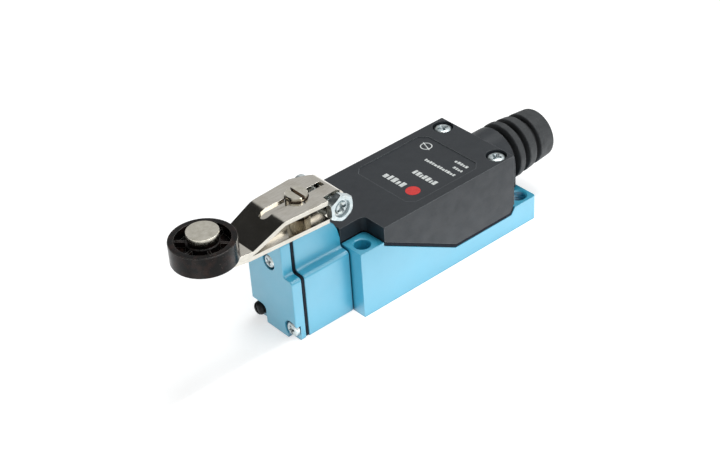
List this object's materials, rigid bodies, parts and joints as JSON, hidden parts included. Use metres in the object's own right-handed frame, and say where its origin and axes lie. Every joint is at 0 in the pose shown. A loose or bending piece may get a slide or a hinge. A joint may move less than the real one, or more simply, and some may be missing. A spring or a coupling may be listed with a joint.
{
  "type": "limit switch",
  "caption": "Compact limit switch: die-cast base, plastic cover, rotary actuator head with a sprung, adjustable roller lever, and a ribbed cable boot.",
  "frame": {"origin": "centre of the flat mounting face on the back of the base", "axes": "+X along the body from the actuator head towards the cable entry, +Z out of the cover, away from the mounting face; the lever shaft is parallel to Z"},
  "size_m": [0.1237, 0.028, 0.0404],
  "materials": {
    "blue_paint": "semi-gloss enamel on die-cast alloy",
    "black_plastic": "fine matte texture",
    "gloss_plastic": "moulded, glossy",
    "nickel_sheet": "nickel-plated sheet steel",
    "zinc": "bright zinc plate",
    "steel": "satin",
    "black_steel": "black oxide",
    "rubber": "matte",
    "seal_rubber": "matte",
    "brass": "bare",
    "bakelite": "moulded thermoset",
    "white_plastic": "moulded"
  },
  "bodies": {
    "housing": {"base_housing": "blue_paint", "cover": "black_plastic", "cover_gasket": "seal_rubber", "cover_screw_near": "zinc", "cover_screw_far": "zinc", "head_body": "blue_paint", "head_gasket": "seal_rubber", "head_cap": "blue_paint", "cap_screw_top": "zinc", "cap_screw_near": "zinc", "cap_screw_far": "black_steel", "head_seal": "seal_rubber", "shaft_bush": "brass", "shaft_seal": "seal_rubber", "return_spring": "steel", "switch_case": "bakelite", "switch_lid": "bakelite", "contact_spring": "steel", "switch_screw_near": "zinc", "switch_screw_far": "zinc", "terminal_1": "brass", "terminal_screw_1": "zinc", "terminal_2": "brass", "terminal_screw_2": "zinc", "terminal_3": "brass", "terminal_screw_3": "zinc", "terminal_4": "brass", "terminal_screw_4": "zinc", "earth_screw": "brass", "gland_body": "black_plastic", "gland_nut": "black_plastic", "gland_seal": "seal_rubber", "cable_boot": "rubber"},
    "lever": {"lever_shaft": "steel", "shaft_cam": "steel", "lever_arm": "nickel_sheet", "clamp_bolt": "zinc", "clamp_nut": "zinc", "roller_rivet": "steel"},
    "roller": {"roller": "gloss_plastic"},
    "plunger": {"plunger": "steel"},
    "button": {"switch_button": "white_plastic", "contact_bridge": "brass"}
  },
  "joints": [
    {"name": "lever_swing", "type": "hinge", "parent": "housing", "child": "lever", "pos_m": [-0.0401, -0.0008, 0.0327], "axis": [0, 0, 1], "range_deg": [-75, 75], "stiffness_Nm_per_rad": 0.15},
    {"name": "roller_spin", "type": "hinge", "parent": "lever", "child": "roller", "pos_m": [-0.0691, -0.0008, 0.0351], "axis": [0, 0, 1], "continuous": true},
    {"name": "plunger_slide", "type": "slide", "parent": "housing", "child": "plunger", "axis": [1, 0, 0], "range_m": [0, 0.0015], "stiffness_N_per_m": 700},
    {"name": "button_slide", "type": "slide", "parent": "housing", "child": "button", "axis": [1, 0, 0], "range_m": [0, 0.0015], "stiffness_N_per_m": 400}
  ],
  "couplings": [
    {"joint": "button_slide", "follows": "plunger_slide", "ratio": 1}
  ]
}
